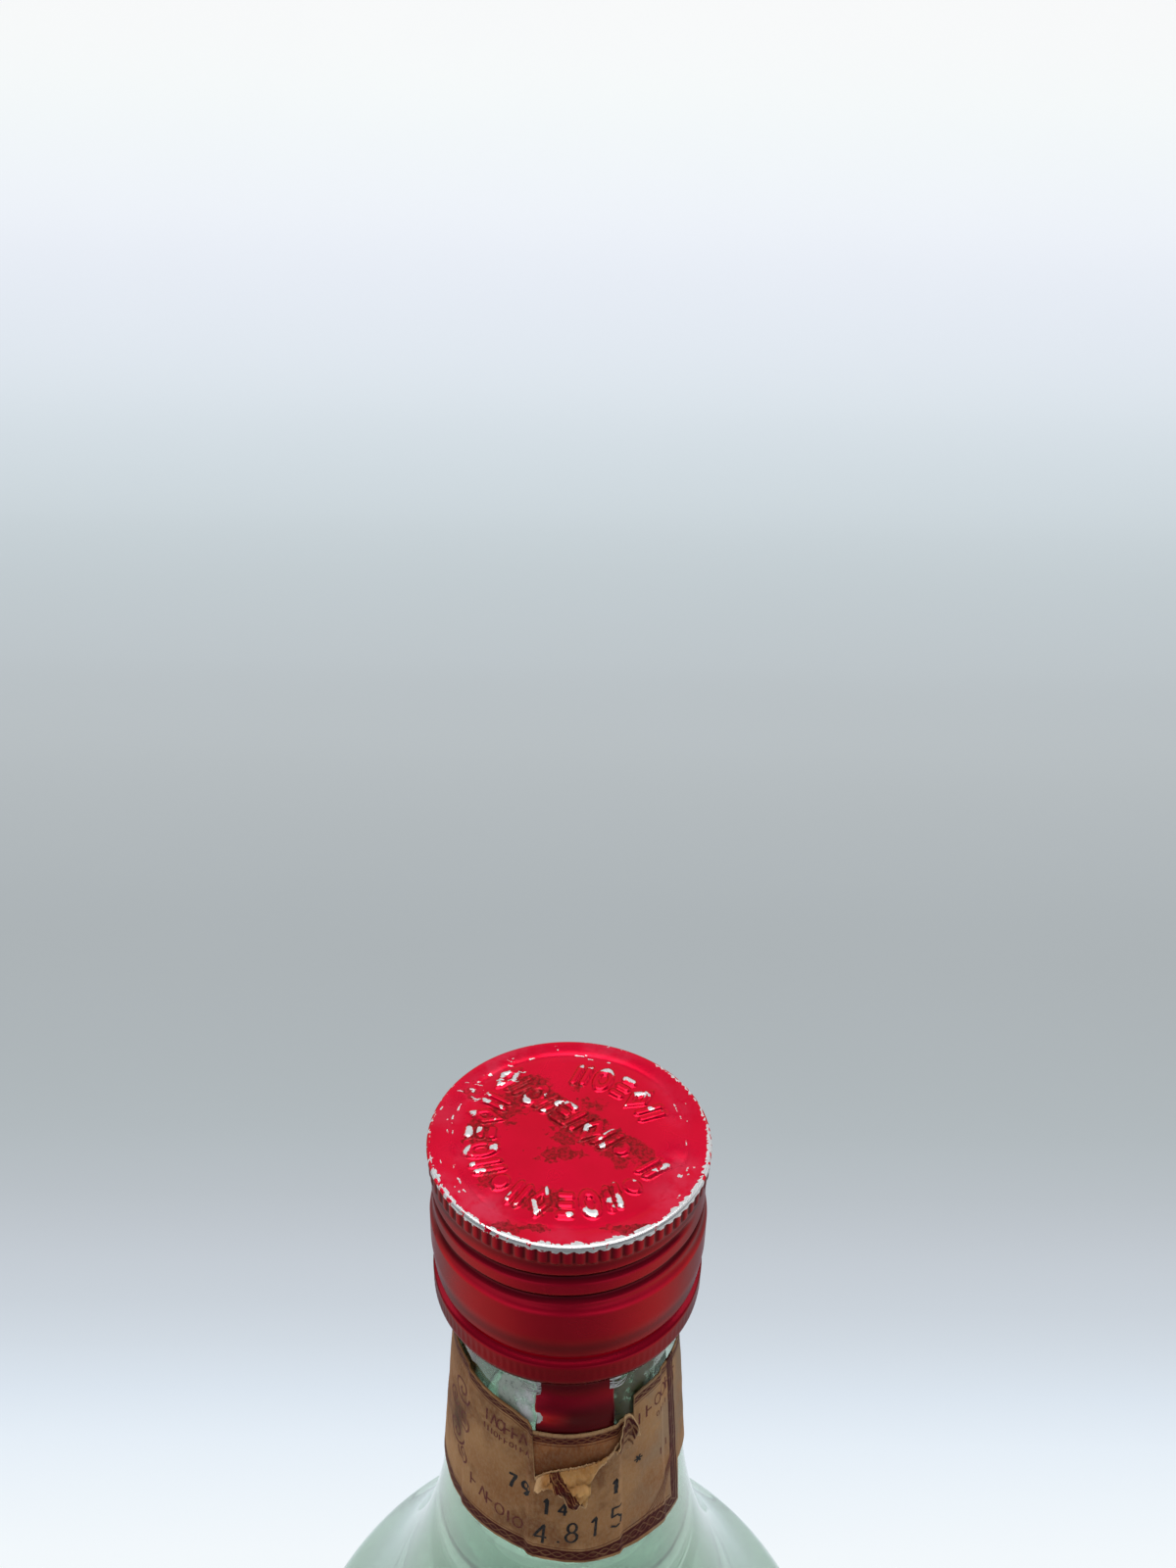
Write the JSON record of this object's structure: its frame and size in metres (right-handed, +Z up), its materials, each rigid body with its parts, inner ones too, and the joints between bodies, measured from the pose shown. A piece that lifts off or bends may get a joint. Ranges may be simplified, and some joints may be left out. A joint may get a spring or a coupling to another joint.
{
  "type": "grappa bottle",
  "caption": "Clear pale green spirits bottle with a long neck, sealed by a knurled red roll-on cap whose tongue hangs under a torn paper tax band.",
  "frame": {"origin": "centre of the base, on the surface the bottle stands on", "axes": "+Z up along the bottle's axis, -Y towards the front, where the tongue hangs and the paper is torn, +X to the right of that view"},
  "size_m": [0.087, 0.087, 0.296],
  "materials": {
    "bottle_glass": "pale green soda-lime glass, fire polished",
    "grappa": "clear spirit",
    "lacquered_cap": "glossy red lacquer on aluminium, worn bare at the rim",
    "inner_paper": "gummed paper, matte, little faded",
    "outer_paper": "gummed paper, matte, aged and torn"
  },
  "bodies": {
    "root": {"bottle_glass": "bottle_glass", "grappa_fill": "grappa", "screw_cap": "lacquered_cap", "tax_band_inner": "inner_paper", "tax_band_outer": "outer_paper"}
  },
  "joints": []
}
